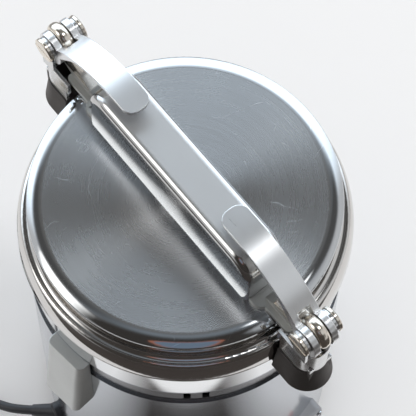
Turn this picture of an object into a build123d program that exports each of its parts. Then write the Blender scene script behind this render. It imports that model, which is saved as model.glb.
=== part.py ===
from build123d import *
import math
import os

# High-speed stainless lab mill, in millimetres. The origin is on the table under the centre of the
# mill, +Z up along the rotor. The bridge bar lies along Y, its front clamp towards -Y, and the
# control panel faces -Y.

# --- driving dimensions: body -----------------------------------------------------------------
foot_height = 14.0
foot_radius = 11.0
foot_circle = 88.0
foot_count = 4
body_radius = 111.0
shell_wall = 1.5
base_thickness = 2.5
housing_height = 228.0
vent_height = 22.0
vent_recess = 2.0
vent_wall = 2.0
vent_groups = 8
vent_slot_width = 5.0
vent_slot_height = 12.0
vent_pitch = 13.0
vent_first_angle = 235.4
seat_thickness = 3.0

# --- driving dimensions: bowl and rim ---------------------------------------------------------
bowl_inset = 13.0
bowl_wall = 2.0
bowl_floor = 3.0
bowl_depth = 67.0
bowl_corner = 12.0
lip_width = 4.5
lip_thickness = 2.0
rim_overhang = 4.0
rim_height = 36.4
rim_cavity_height = 17.0
bead_height = 5.0
bead_shoulder_drop = 3.4
bead_shoulder_inset = 2.1
cove_depth = 15.0
cove_radius = 4.6
cove_step = 0.8

# --- driving dimensions: lid ------------------------------------------------------------------
lid_rise = 8.0
disc_inset = 1.5
shoulder_width = 10.0
shoulder_sweep = 38.0
hem_radius = 1.3
hem_drop = 5.8
lid_sheet = 2.0
liner_thickness = 2.0
gasket_gap = 0.2
gasket_width = 6.5
bar_width = 33.0
bar_height = 50.0
bar_inset = 12.5
bar_wall = 2.5
bar_edge_radius = 5.5
bar_end_radius = 18.0
bar_waist = 2.5
bar_foot = 3.0
bar_shoulder = 10.0

# --- driving dimensions: clamps ---------------------------------------------------------------
pivot_overhang = 19.0
pivot_rise = 26.0
pin_radius = 4.0
pin_clearance = 0.05
side_gap = 0.3
eye_radius = 12.5
eye_rounding = 4.2
eye_width = 9.5
prong_width = 5.0
prong_end_radius = 10.5
cam_radius = 11.8
cam_drop = 4.5
lever_thickness = 2.8
lever_tip_inset = 89.0
lever_tip_rise = 62.0
lever_crown_inset = 54.0
lever_crown_rise = 60.5
lever_knee_inset = 26.0
lever_knee_rise = 48.5
lever_lean = 50.0
lever_root_run = 17.0
lever_root_rise = 6.5
slot_clearance = 1.0
strap_wall = 2.4
pin_head_radius = 9.2
pin_head_width = 2.6
pin_slot_width = 1.6
foot_plate_width = 27.0
foot_plate_thickness = 4.0
foot_plate_rounding = 0.65
tongue_width = 18.0
slit_length = 7.0
slit_width = 1.6
slit_inset = 6.0
clasp_overhang = 10.0
cup_margin = 1.0
cup_flare = 8.0
cup_height = 27.0
cup_wall = 2.5
cup_floor = 4.0
cup_top_drop = 24.0
strap_rise = 3.0
floor_margin = 1.5
claw_gap = 0.4
claw_clearance = 0.5
claw_slope = 15.0

# --- driving dimensions: motor and rotor ------------------------------------------------------
shaft_radius = 8.0
journal_radius = 6.0
journal_top = 90.0
shaft_bottom = 54.0
shoulder_rise = 8.0
running_gap = 0.03
fit_gap = 0.02
stator_radius = 52.0
stator_bore = 33.0
stator_bottom = 112.0
stator_height = 56.0
winding_height = 12.0
winding_inner = 35.0
winding_outer = 50.0
air_gap = 0.8
commutator_radius = 16.0
commutator_height = 11.0
bracket_radius = 66.0
bracket_thickness = 6.0
bracket_overlap = 2.5
bracket_wall = 4.0
bracket_rise = 10.0
bracket_drop = 20.0
bearing_boss_wall = 4.0
bolt_circle = 61.0
bolt_radius = 2.5
upper_bearing_radius = 17.5
upper_bearing_width = 11.0
lower_bearing_radius = 13.0
lower_bearing_width = 8.0
fan_radius = 56.0
fan_height = 16.0
fan_hub_radius = 12.0
fan_blades = 9
knife_thickness = 2.5
lower_knife_gap = 10.0
upper_knife_gap = 23.0
knife_width = 22.0
knife_tip_rise = 12.0
knife_edge_length = 42.0
knife_edge_angle = 14.0
spacer_height = 10.0
nut_width = 19.0
nut_height = 8.0
seal_radius = 14.0
brush_width = 8.0
brush_height = 7.0
brush_length = 16.0
holder_wall = 1.5
holder_length = 40.0

# --- driving dimensions: grips, panel, cord ---------------------------------------------------
grip_angle = 186.6
grip_width = 33.0
grip_height = 72.0
grip_top_proud = 8.0
grip_bottom_proud = 16.5
grip_wall = 2.0
panel_width = 84.0
panel_height = 60.0
panel_bottom = 26.0
panel_proud = 4.0
panel_wall = 2.0
knob_x = -21.0
knob_radius = 15.0
knob_height = 13.0
knob_spindle_radius = 3.0
knob_flutes = 16
flute_radius = 1.2
skirt_overhang = 3.0
skirt_thickness = 2.5
timer_width = 32.0
timer_height = 36.0
timer_depth = 30.0
spindle_depth = 10.0
switch_x = 22.0
switch_width = 15.0
switch_height = 21.0
switch_tilt = 8.0
switch_depth = 22.0
switch_rim = 1.5
rocker_dish = 28.0
bezel_width = 4.0
bezel_depth = 20.0
button_proud = 5.0
button_depth = 8.0
trunnion_radius = 1.5
breaker_radius = 5.0
gland_angle = 167.0
gland_z = 29.0
gland_radius = 8.5
gland_length = 5.0
relief_length = 22.0
relief_heading = 134.0
relief_dip = 15.0
cord_diameter = 7.5
cord_points = [(-139.9, 63.4, 14.1), (-147.2, 78.5, 8.5), (-155.5, 94.1, 5.1)]
cord_end_run = 15.0
coil_centre = (-149.0, 170.0)
coil_radius = 37.5
coil_columns = 3
coil_layers = 2
coil_gate = 28.0
coil_entry_angle = 212.0
coil_exit_angle = 120.0
plug_relief = 24.0
plug_length = 34.0
plug_width = 28.0
plug_pin_length = 18.0
plug_pin_width = 6.3
plug_pin_thickness = 1.6

# --- levels worked out from the above ---------------------------------------------------------
rim_radius = body_radius + rim_overhang
bowl_radius = body_radius - bowl_inset
lid_disc_radius = bowl_radius - disc_inset
lid_radius = lid_disc_radius + shoulder_width
pivot_reach = rim_radius + pivot_overhang
clasp_reach = pivot_reach + clasp_overhang
bar_length = 2 * (lid_disc_radius - bar_inset)
lever_tip_reach = pivot_reach - lever_tip_inset
lever_crown_reach = pivot_reach - lever_crown_inset
lever_knee_reach = pivot_reach - lever_knee_inset
housing_top = foot_height + housing_height
seat_z = housing_top + vent_height
bowl_bottom = seat_z + seat_thickness
bowl_inside_z = bowl_bottom + bowl_floor
rim_z = bowl_inside_z + bowl_depth
lid_z = rim_z + lid_rise
rim_bottom = rim_z - lip_thickness - rim_height
bowl_outer = bowl_radius + bowl_wall
pivot_z = lid_z + pivot_rise
prong_inner = eye_width / 2 + side_gap
prong_outer = prong_inner + prong_width
strap_inner = prong_outer + side_gap
strap_outer = strap_inner + strap_wall
cup_width = 2 * (strap_outer + cup_margin)
floor_width = cup_width + 2 * floor_margin
stator_top = stator_bottom + stator_height
upper_bracket_top = stator_top + winding_height + bracket_rise + upper_bearing_width
lower_bracket_bottom = stator_bottom - winding_height - bracket_drop
knife_z = bowl_inside_z + shoulder_rise
upper_knife_z = knife_z + knife_thickness + spacer_height
nut_z = upper_knife_z + knife_thickness + 1.0
panel_top = panel_bottom + panel_height
panel_face = body_radius + panel_proud
panel_mid_z = panel_bottom + panel_height / 2
beyond = 4 * clasp_reach


def save(name, shape):
    """Writes one named piece to parts/."""
    export_step(shape, os.path.join("parts", name + ".step"))


def lathe(points):
    """Solid of revolution about Z from a closed outline of (radius, height) points."""
    outline = Polyline(*[(r, 0, z) for r, z in points], close=True)
    return revolve(make_face(outline), Axis.Z)


def ring(inner, outer, bottom, top):
    """Plain ring, or a disc where inner is 0."""
    low = max(inner, 0.0)
    return lathe([(low, bottom), (outer, bottom), (outer, top), (low, top)])


def block(x0, x1, y0, y1, z0, z1):
    """Box from its corner coordinates."""
    centre = Location(((x0 + x1) / 2, (y0 + y1) / 2, (z0 + z1) / 2))
    return centre * Box(x1 - x0, y1 - y0, z1 - z0)


def rod(radius, start, length, axis):
    """Cylinder from a start point along an axis."""
    return Plane(origin=start, z_dir=axis) * extrude(Circle(radius), length)


def turned(shape, degrees):
    """The shape turned about the mill's centre line."""
    return Rot(0, 0, degrees) * shape


def around(shape, count, first=0.0):
    """Copies of the shape spaced evenly about the centre line."""
    return [turned(shape, first + 360.0 / count * i) for i in range(count)]


def drawn(plane, edges):
    """Face from edges drawn with flat points on the given plane."""
    return make_face([plane * edge for edge in edges])


def slab(face, half_width):
    """The YZ face thickened to both sides of the plane x = 0."""
    return extrude(face, half_width, both=True)


# --- body -------------------------------------------------------------------------------------
def make_feet():
    pad = ring(3.0, foot_radius, 0.0, foot_height) - ring(0, 6.0, 0.0, 5.0)
    pad = chamfer(pad.edges().filter_by(GeomType.CIRCLE).group_by(Axis.Z)[0][-1:], 1.2)
    at = Pos(foot_circle, 0, 0)
    save("rubber_feet", Compound(around(at * pad, foot_count, 45.0)))
    screw = ring(0, 5.2, 2.0, 5.0) + ring(0, 2.9, 5.0, foot_height + base_thickness + 5.0)
    save("foot_screws", Compound(around(at * screw, foot_count, 45.0)))


def make_base_plate():
    plate = ring(0, body_radius - shell_wall, foot_height, foot_height + base_thickness)
    hole = Pos(foot_circle, 0, foot_height) * Cylinder(3.0, 4 * base_thickness)
    slot = Pos(34.0, 0, foot_height) * Box(34.0, 5.0, 4 * base_thickness)
    for cut in around(hole, foot_count, 45.0) + around(slot, 12, 15.0):
        plate -= cut
    save("base_plate", plate)


def make_housing():
    inner = body_radius - shell_wall
    shell = ring(inner, body_radius, foot_height, housing_top)
    shell += ring(inner - 6.0, inner, housing_top - shell_wall, housing_top)
    side = panel_width / 2 - panel_wall - 2.0
    shell -= block(-side, side, -body_radius - 2, -inner + 22, panel_bottom + 6, panel_top - 6)
    mouth = rod(gland_radius - 2.0, (inner - 4.0, 0, gland_z), 8.0, (1, 0, 0))
    shell -= turned(mouth, gland_angle)
    save("motor_housing", shell)


def make_vent_ring():
    outer = body_radius - vent_recess
    wall = ring(outer - vent_wall, outer, housing_top, seat_z)
    step = math.degrees(vent_pitch / outer)
    cutter = Pos(outer, 0, housing_top + vent_height / 2)
    cutter = cutter * Box(6 * vent_wall, vent_slot_width, vent_slot_height)
    for first in (vent_first_angle - step / 2, vent_first_angle + step / 2):
        for cut in around(cutter, vent_groups, first):
            wall -= cut
    save("vent_ring", wall)


def make_seat_plate():
    plate = ring(seal_radius, body_radius - shell_wall, seat_z, bowl_bottom)
    plate += ring(body_radius - shell_wall, body_radius, seat_z, seat_z + shell_wall)
    hole = Pos(bolt_circle, 0, seat_z) * Cylinder(bolt_radius + fit_gap, 4 * seat_thickness)
    for cut in around(hole, 4, 45.0):
        plate -= cut
    save("seat_plate", plate)


def make_jacket():
    low = seat_z + shell_wall
    save("bowl_jacket", ring(body_radius - shell_wall, body_radius, low, rim_bottom))


def make_bowl():
    outer = bowl_outer
    blank = ring(0, outer, bowl_bottom, rim_z)
    blank = fillet(blank.edges().filter_by(GeomType.CIRCLE).group_by(Axis.Z)[0], bowl_corner)
    cavity = ring(0, bowl_radius, bowl_inside_z, rim_z)
    cavity = fillet(cavity.edges().filter_by(GeomType.CIRCLE).group_by(Axis.Z)[0],
                    bowl_corner - bowl_wall)
    bowl = blank - cavity
    bowl += ring(bowl_radius, outer + lip_width, rim_z - lip_thickness, rim_z)
    bowl -= ring(0, seal_radius, bowl_bottom, bowl_inside_z)
    save("bowl", bowl)


def make_rim():
    """Rolled rim under the bowl's lip: a neck, a cove that turns outwards and a rounded bead."""
    top = rim_z - lip_thickness
    neck = bowl_outer + lip_width
    cove_low = top - cove_depth
    bend = (neck + cove_radius, cove_low + cove_radius)
    diagonal = cove_radius * math.sqrt(0.5)
    cove_end = (neck + cove_radius, cove_low)
    crown = (cove_end[0] + cove_step / 2, cove_low + cove_step)
    shoulder = (rim_radius - bead_shoulder_inset, crown[1] - bead_shoulder_drop)
    bead_low = rim_bottom + bead_height
    rounding = rim_overhang / 2
    edges = [
        Line((bowl_outer, rim_bottom), (rim_radius - rounding, rim_bottom)),
        ThreePointArc((rim_radius - rounding, rim_bottom),
                      (rim_radius - rounding * 0.2, rim_bottom + bead_height * 0.35),
                      (rim_radius, bead_low)),
        Spline((rim_radius, bead_low), shoulder, crown, tangents=[(0, 1), (-1, 0.15)]),
        Line(crown, cove_end),
        ThreePointArc(cove_end, (bend[0] - diagonal, bend[1] - diagonal), (neck, bend[1])),
        Line((neck, bend[1]), (neck, top)),
        Line((neck, top), (bowl_outer, top)),
        Line((bowl_outer, top), (bowl_outer, rim_bottom)),
    ]
    rim = revolve(drawn(Plane.XZ, edges), Axis.Z)
    rim -= ring(bowl_outer + 2.0, body_radius - shell_wall - 1.0, rim_bottom,
                rim_bottom + rim_cavity_height)
    save("rolled_rim", rim)


def make_grips():
    top = seat_z
    low = top - grip_height
    inner = body_radius
    reach = math.sqrt(inner ** 2 - (grip_width / 2) ** 2)

    def wedge(shrink, drop):
        half = grip_width / 2 - shrink
        side = Polyline(
            (reach - 8.0, 0, low - drop),
            (inner + grip_bottom_proud - shrink, 0, low - drop),
            (inner + grip_top_proud - shrink, 0, top - shrink),
            (reach - 8.0, 0, top - shrink),
            close=True,
        )
        solid = extrude(make_face(side), half, both=True)
        posts = solid.edges().filter_by(lambda e: abs(e.tangent_at(0.5).Z) > 0.8)
        return fillet(posts.sort_by(Axis.X)[-2:], 5.0 - shrink)

    grip = wedge(0.0, 0.0) - wedge(grip_wall, 5.0)
    grip -= ring(0, inner, low - 10, top + 10)
    save("grip_left", turned(grip, grip_angle))
    save("grip_right", turned(grip, grip_angle - 180.0))


# --- lid --------------------------------------------------------------------------------------
def make_lid():
    """Flat disc with a rounded shoulder that ends in a short upright hem."""
    sweep = math.radians(shoulder_sweep)
    bend = hem_radius + (shoulder_width - hem_radius) / math.sin(sweep)
    hem = (lid_radius - hem_radius, lid_z - bend + (bend - hem_radius) * math.cos(sweep))
    hem_low = lid_z - hem_drop

    def on_bend(radius, angle):
        return (lid_disc_radius + radius * math.sin(angle),
                lid_z - bend + radius * math.cos(angle))

    half_left = (sweep + math.pi / 2) / 2
    inside = bend - lid_sheet
    skirt = lid_radius - lid_sheet
    edges = [
        Line((0, lid_z), (lid_disc_radius, lid_z)),
        ThreePointArc((lid_disc_radius, lid_z), on_bend(bend, sweep / 2), on_bend(bend, sweep)),
        ThreePointArc(on_bend(bend, sweep), (hem[0] + hem_radius * math.sin(half_left),
                                             hem[1] + hem_radius * math.cos(half_left)),
                      (lid_radius, hem[1])),
        Line((lid_radius, hem[1]), (lid_radius, hem_low)),
        Line((lid_radius, hem_low), (skirt, hem_low)),
        Line((skirt, hem_low), on_bend(inside, sweep * 0.75)),
        ThreePointArc(on_bend(inside, sweep * 0.75), on_bend(inside, sweep * 0.4),
                      (lid_disc_radius, lid_z - lid_sheet)),
        Line((lid_disc_radius, lid_z - lid_sheet), (0, lid_z - lid_sheet)),
        Line((0, lid_z - lid_sheet), (0, lid_z)),
    ]
    save("lid_shell", revolve(drawn(Plane.XZ, edges), Axis.Z))

    under = lid_z - lid_sheet
    seal_in = bowl_radius - 1.5
    save("lid_liner", ring(0, seal_in - fit_gap, under - liner_thickness, under))
    low = rim_z + gasket_gap
    save("lid_gasket", lathe([
        (seal_in, low),
        (seal_in + gasket_width, low),
        (seal_in + gasket_width, low + 2.2),
        (seal_in + 1.0, under),
        (seal_in, under),
    ]))


def arched_bar(half_length, half_width, height, end_radius, edge_radius):
    """Bar along Y on the lid, its ends rounded down from the top and its long edges rounded."""
    side = Plane.YZ * (Pos(0, lid_z + height / 2) * Rectangle(2 * half_length, height))
    bar = slab(side, half_width)
    bar = fillet(bar.faces().sort_by(Axis.Z)[-1].edges().filter_by(Axis.X), end_radius)
    ends = bar.faces().sort_by(Axis.X)
    edges = [e for f in (ends[0], ends[-1]) for e in f.edges() if e.center().Z > lid_z + 0.1]
    return fillet(edges, edge_radius)


def make_bridge_bar():
    """Pressed bridge: waisted sides that stand on a narrow foot, hollow underneath."""
    bar = arched_bar(bar_length / 2, bar_width / 2, bar_height, bar_end_radius, bar_edge_radius)
    chord = bar_height - bar_foot - bar_shoulder
    waist_radius = (chord ** 2 / 4 + bar_waist ** 2) / (2 * bar_waist)
    for side in (-1, 1):
        x = side * (bar_width / 2 - bar_waist + waist_radius)
        bar -= rod(waist_radius, (x, -bar_length, lid_z + bar_foot + chord / 2),
                   2 * bar_length, (0, 1, 0))
    bar -= arched_bar(bar_length / 2 - bar_wall, bar_width / 2 - bar_waist - bar_wall,
                      bar_height - bar_wall, bar_end_radius - bar_wall,
                      bar_edge_radius - bar_wall)
    save("bridge_bar", bar)


def make_end_lug(name, turn):
    """Foot plate welded to the lid, with the tongue and the round eye that carries the pin."""
    start = bar_length / 2
    plate_end = lid_disc_radius - 1.0
    half = foot_plate_width / 2
    z0 = lid_z
    z1 = lid_z + foot_plate_thickness
    plate = block(-half, half, -plate_end, -start, z0, z1)
    corners = plate.edges().filter_by(Axis.Z).group_by(Axis.Y)[0]
    plate = fillet(corners, foot_plate_rounding * (plate_end - start))
    tongue_end = pivot_reach - eye_radius - 3.0
    tongue = block(-tongue_width / 2, tongue_width / 2, -tongue_end, -start - 4.0, z0, z1)
    tongue = fillet(tongue.edges().filter_by(Axis.Z).group_by(Axis.Y)[0], 3.0)
    web_start = lid_disc_radius - 8.0
    web = make_face(Polyline(
        (0, -web_start, z1 - 1.0),
        (0, -tongue_end + 1.0, z1 - 1.0),
        (0, -pivot_reach + 2.0, pivot_z - eye_radius + 0.3),
        (0, -pivot_reach + 1.0, pivot_z + 3.0),
        (0, -pivot_reach + eye_radius - 1.0, pivot_z + 3.0),
        close=True,
    ))
    lug = plate + tongue + slab(web, eye_width / 2)
    eye = rod(eye_radius, (-eye_width / 2, -pivot_reach, pivot_z), eye_width, (1, 0, 0))
    lug += fillet(eye.edges().filter_by(GeomType.CIRCLE), eye_rounding)
    lug -= Pos(half - slit_inset, -start - slit_inset, z1) * Box(slit_length, slit_width,
                                                                 foot_plate_thickness)
    lug -= rod(pin_radius + pin_clearance, (-eye_width, -pivot_reach, pivot_z),
               2 * eye_width, (1, 0, 0))
    save(name, turned(lug, turn))


# --- clamps -----------------------------------------------------------------------------------
def make_lever(name, turn):
    """Curved satin cam lever: a bent strip that ends in two cheeks round the pin."""
    tip = (-lever_tip_reach, lid_z + lever_tip_rise)
    crown = (-lever_crown_reach, lid_z + lever_crown_rise)
    knee = (-lever_knee_reach, lid_z + lever_knee_rise)
    lean = math.radians(lever_lean)
    pivot = (-pivot_reach, pivot_z)
    rise = prong_end_radius
    shoulder = (pivot[0] + rise * math.sin(lean), pivot[1] + rise * math.cos(lean))
    heel = (pivot[0] - rise * math.sin(lean), pivot[1] - rise * math.cos(lean))
    back = (pivot[0] - rise * math.cos(lean), pivot[1] + rise * math.sin(lean))
    cheek = (pivot[0] + 0.45 * rise, pivot[1] - 0.89 * rise)
    top = Spline(tip, crown, knee, shoulder,
                 tangents=[(-1, 0.02), (-math.cos(lean), -math.sin(lean))])
    low_tip = (tip[0], tip[1] - lever_thickness)
    low_crown = (crown[0] + 0.5, crown[1] - lever_thickness)
    low_knee = (knee[0] + 1.6, knee[1] - lever_thickness - 0.4)
    low_end = (pivot[0] + lever_root_run, pivot[1] + lever_root_rise)
    bottom = Spline(low_tip, low_crown, low_knee, low_end,
                    tangents=[(-1, 0.02), (-0.62, -0.78)])
    face = drawn(Plane.YZ, [
        top,
        ThreePointArc(shoulder, back, heel),
        ThreePointArc(heel, (pivot[0] - 0.1, pivot[1] - rise), cheek),
        Line(cheek, low_end),
        bottom,
        Line(low_tip, tip),
    ])
    lever = slab(face, prong_outer)
    ends = lever.edges().filter_by(Axis.Z).group_by(Axis.Y)[-1]
    lever = fillet(ends, prong_outer - 2.0)
    lever += rod(cam_radius, (-prong_outer, -pivot_reach, pivot_z - cam_drop), 2 * prong_outer,
                 (1, 0, 0))
    slot_end = -pivot_reach + eye_radius + slot_clearance
    lever -= block(-prong_inner, prong_inner, -beyond, slot_end, 0, beyond)
    lever -= block(-prong_inner, prong_inner, slot_end - 1, -lever_knee_reach - 4.0,
                   0, pivot_z + lever_root_rise)
    lever -= rod(pin_radius + fit_gap, (-prong_outer - 5, -pivot_reach, pivot_z),
                 2 * prong_outer + 10, (1, 0, 0))
    save(name, turned(lever, turn))


def make_pin(name, turn):
    """Pivot pin with a wide slotted head at each end, outside the clasp's ears."""
    inner = strap_outer + side_gap
    shank = rod(pin_radius, (-inner, -pivot_reach, pivot_z), 2 * inner, (1, 0, 0))
    for side in (-1, 1):
        head = rod(pin_head_radius, (side * inner, -pivot_reach, pivot_z), pin_head_width,
                   (side, 0, 0))
        head = chamfer(head.faces().sort_by(Axis.X)[-1 if side > 0 else 0].edges(), 0.7)
        face_x = side * (inner + pin_head_width)
        head -= Pos(face_x, -pivot_reach, pivot_z) * Box(2.0, 2.5 * pin_head_radius,
                                                         pin_slot_width)
        shank += head
    save(name, turned(shank, turn))


def hairpin(half_width, wall, inner_end, outer_end, z0, z1):
    """Upright U wall, open towards the lid, with its round end outwards."""
    bend = half_width
    mid = -outer_end + bend
    face = Pos(0, (mid - inner_end) / 2) * Rectangle(2 * half_width, abs(mid + inner_end))
    face += Pos(0, mid) * Circle(half_width)
    hole = Pos(0, (mid - inner_end + 1) / 2) * Rectangle(2 * (half_width - wall),
                                                         abs(mid + inner_end) + 1)
    hole += Pos(0, mid) * Circle(half_width - wall)
    return Pos(0, 0, z0) * extrude(face - hole, z1 - z0)


def flared_cup(half_width, outer_end, low, high):
    """Round-ended block that widens downwards, from the jacket out to its round end."""
    plan = Pos(0, (-outer_end + half_width - body_radius) / 2) * Rectangle(
        2 * half_width, outer_end - half_width - body_radius)
    plan += Pos(0, -outer_end + half_width) * Circle(half_width)
    return Pos(0, 0, high) * extrude(plan, -(high - low), taper=-cup_flare)


def make_clasp(name, turn):
    """Pressed clasp: ears on the pin, upright strap, wide cup and a claw under the bead."""
    strap_in = lid_radius + 6.0
    strap_low = lid_z - cup_top_drop - 4.0
    strap_top = lid_z + strap_rise
    strap = hairpin(strap_outer, strap_wall, strap_in, clasp_reach, strap_low, strap_top)
    for side in (-1, 1):
        x0 = side * strap_inner
        ear = rod(pin_head_radius - 0.6, (x0, -pivot_reach, pivot_z), strap_wall, (side, 0, 0))
        low, high = sorted((x0, side * strap_outer))
        ear += block(low, high, -pivot_reach - 6.0, -pivot_reach + 6.0, lid_z - 1.0, pivot_z)
        strap += ear
    strap -= rod(pin_radius + pin_clearance, (-strap_outer - 2, -pivot_reach, pivot_z),
                 2 * strap_outer + 4, (1, 0, 0))

    cup_top = lid_z - cup_top_drop
    cup_low = cup_top - cup_height
    cup = flared_cup(cup_width / 2, clasp_reach, cup_low, cup_top)
    cup -= flared_cup(cup_width / 2 - cup_wall, clasp_reach - cup_wall, cup_low, cup_top)
    floor_top = rim_bottom - claw_gap
    bend = floor_width / 2
    plan = Pos(0, (-clasp_reach + bend - body_radius) / 2) * Rectangle(
        floor_width, clasp_reach - bend - body_radius)
    plan += Pos(0, -clasp_reach + bend) * Circle(bend)
    plan += Pos(0, -body_radius) * Rectangle(floor_width, 30.0)
    floor = Pos(0, 0, floor_top - cup_floor) * extrude(plan, cup_floor)
    floor -= ring(0, body_radius + claw_clearance, cup_low - 20, cup_top + 20)
    rise = (rim_radius + 4.0 - body_radius) * math.tan(math.radians(claw_slope))
    shave = lathe([
        (0, floor_top + 5),
        (0, floor_top - rise),
        (body_radius, floor_top - rise),
        (rim_radius + 4.0, floor_top),
        (rim_radius + 4.0, floor_top + 5),
    ])
    floor -= shave
    bridge = block(-strap_inner + 1.0, strap_inner - 1.0, -clasp_reach + 1.2, -clasp_reach + 3.4,
                   floor_top - 0.5, cup_top + 6.0)
    cup -= ring(0, rim_radius + 1.0, cup_low - 1, cup_top + 1)
    strap -= ring(0, rim_radius + 1.0, strap_low - 1, lid_z - 9.0)
    clasp = cup + floor + strap + bridge
    save(name, turned(clasp, turn))


# --- motor ------------------------------------------------------------------------------------
def make_motor():
    core = ring(stator_bore, stator_radius, stator_bottom, stator_top)
    for angle in range(8):
        groove = Pos(stator_bore + 3.0, 0, stator_bottom) * Box(12.0, 5.0, 3 * stator_height)
        core -= turned(groove, 22.5 + 45.0 * angle)
    save("stator_core", core)
    low_coil = ring(winding_inner, winding_outer, stator_bottom - winding_height, stator_bottom)
    high_coil = ring(winding_inner, winding_outer, stator_top, stator_top + winding_height)
    save("stator_windings", Compound([
        fillet(low_coil.edges().group_by(Axis.Z)[0], 4.0),
        fillet(high_coil.edges().group_by(Axis.Z)[-1], 4.0),
    ]))

    wall_outer = stator_radius + bracket_wall
    upper_low = upper_bracket_top - bracket_thickness
    upper = ring(upper_bearing_radius, bracket_radius, upper_low, upper_bracket_top)
    upper += ring(stator_radius, wall_outer, stator_top - bracket_overlap, upper_low)
    upper += ring(upper_bearing_radius, upper_bearing_radius + bearing_boss_wall,
                  upper_bracket_top - upper_bearing_width, upper_low)
    lower_high = lower_bracket_bottom + bracket_thickness
    lower = ring(lower_bearing_radius, bracket_radius, lower_bracket_bottom, lower_high)
    lower += ring(stator_radius, wall_outer, lower_high, stator_bottom + bracket_overlap)
    lower += ring(lower_bearing_radius, lower_bearing_radius + bearing_boss_wall, lower_high,
                  lower_bracket_bottom + lower_bearing_width)
    bolt_hole = Pos(bolt_circle, 0, stator_bottom) * Cylinder(bolt_radius + fit_gap, beyond)
    for cut in around(bolt_hole, 4, 45.0):
        upper -= cut
        lower -= cut
    brush_z = commutator_z() + commutator_height / 2
    holder_half_y = brush_width / 2 + holder_wall
    holder_half_z = brush_height / 2 + holder_wall
    start = commutator_radius + 1.5
    holders = []
    brushes = []
    for angle in (90.0, 270.0):
        tube = block(start, start + holder_length, -holder_half_y, holder_half_y,
                     brush_z - holder_half_z, brush_z + holder_half_z)
        lower -= turned(tube, angle)
        tube -= block(start - 1, start + holder_length - 4.0, -brush_width / 2, brush_width / 2,
                      brush_z - brush_height / 2, brush_z + brush_height / 2)
        holders.append(turned(tube, angle))
        brush = block(commutator_radius, commutator_radius + brush_length,
                      -brush_width / 2 + fit_gap, brush_width / 2 - fit_gap,
                      brush_z - brush_height / 2 + fit_gap, brush_z + brush_height / 2 - fit_gap)
        brush -= ring(0, commutator_radius + running_gap, brush_z - brush_height,
                      brush_z + brush_height)
        brushes.append(turned(brush, angle))
    save("upper_bracket", upper)
    save("lower_bracket", lower)
    save("brush_holders", Compound(holders))
    save("carbon_brushes", Compound(brushes))

    bolt = ring(0, bolt_radius, lower_bracket_bottom - 5.0, bowl_bottom)
    bolt += ring(0, bolt_radius + 2.0, lower_bracket_bottom - 4.0, lower_bracket_bottom)
    bolt += ring(0, bolt_radius + 2.0, upper_bracket_top, upper_bracket_top + 4.0)
    bolt += ring(0, bolt_radius + 2.0, seat_z - 4.0, seat_z)
    save("through_bolts", Compound(around(Pos(bolt_circle, 0, 0) * bolt, 4, 45.0)))

    save("upper_bearing", ring(shaft_radius + running_gap, upper_bearing_radius,
                               upper_bracket_top - upper_bearing_width, upper_bracket_top))
    save("lower_bearing", ring(journal_radius + running_gap, lower_bearing_radius,
                               lower_bracket_bottom, lower_bracket_bottom + lower_bearing_width))
    seal = ring(shaft_radius + running_gap, seal_radius, seat_z, bowl_inside_z)
    seal += ring(shaft_radius + running_gap, seal_radius - 3.0, bowl_inside_z,
                 bowl_inside_z + 3.0)
    save("shaft_seal", seal)


def commutator_z():
    """Height of the commutator's lower end, between the lower bearing and the winding."""
    return stator_bottom - winding_height - commutator_height - 0.5


# --- rotor ------------------------------------------------------------------------------------
def make_rotor():
    stud_top = nut_z + nut_height + 2.0
    save("rotor_shaft", lathe([
        (0, shaft_bottom),
        (journal_radius, shaft_bottom),
        (journal_radius, journal_top - 1.0),
        (shaft_radius, journal_top - 1.0),
        (shaft_radius, knife_z),
        (journal_radius, knife_z),
        (journal_radius, stud_top - 1.0),
        (journal_radius - 1.0, stud_top),
        (0, stud_top),
    ]))
    bore = shaft_radius + fit_gap
    core = ring(bore, stator_bore - air_gap, stator_bottom, stator_top)
    for angle in range(12):
        groove = Pos(stator_bore - air_gap, 0, stator_bottom) * Box(14.0, 3.0, 3 * stator_height)
        core -= turned(groove, 30.0 * angle)
    save("armature", core)
    low = commutator_z()
    save("commutator", ring(bore, commutator_radius, low, low + commutator_height))

    fan_low = shaft_bottom + 2.0
    hub = ring(journal_radius + fit_gap, fan_hub_radius, fan_low, fan_low + fan_height)
    fan = hub + ring(fan_hub_radius, fan_radius, fan_low + fan_height - 2.0,
                     fan_low + fan_height)
    blade_length = fan_radius - fan_hub_radius - 2.0
    blade = Pos(fan_hub_radius + blade_length / 2 + 0.5, 0, fan_low + fan_height / 2)
    blade = blade * Rot(0, 0, 25.0) * Box(blade_length, 2.0, fan_height)
    blade -= ring(0, journal_radius + 3.0, 0, 200.0)
    for part in around(blade, fan_blades):
        fan += part
    save("cooling_fan", fan)


def knife(length, z, tip_rise):
    """Double-ended knife: flat bar with bevelled edges and upswept ends."""
    half = length / 2
    bend = half - 26.0
    profile = Polyline(
        (-half, 0, z + tip_rise),
        (-bend, 0, z),
        (bend, 0, z),
        (half, 0, z + tip_rise),
        (half, 0, z + tip_rise + knife_thickness),
        (bend, 0, z + knife_thickness),
        (-bend, 0, z + knife_thickness),
        (-half, 0, z + tip_rise + knife_thickness),
        close=True,
    )
    bar = extrude(make_face(profile), knife_width / 2, both=True)
    outline = Pos(0, 0, z - 5.0) * extrude(SlotOverall(length, knife_width), 30.0 + tip_rise)
    bar = bar & outline
    for side in (-1, 1):
        cutter = Pos(side * (half - knife_edge_length / 2), side * (knife_width / 2 + 3.0), z)
        bar -= cutter * Rot(0, 0, knife_edge_angle) * Box(1.6 * knife_edge_length, 12.0,
                                                          6 * knife_tip_rise)
    return bar - ring(0, journal_radius + fit_gap, z - 5, z + 10)


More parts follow.
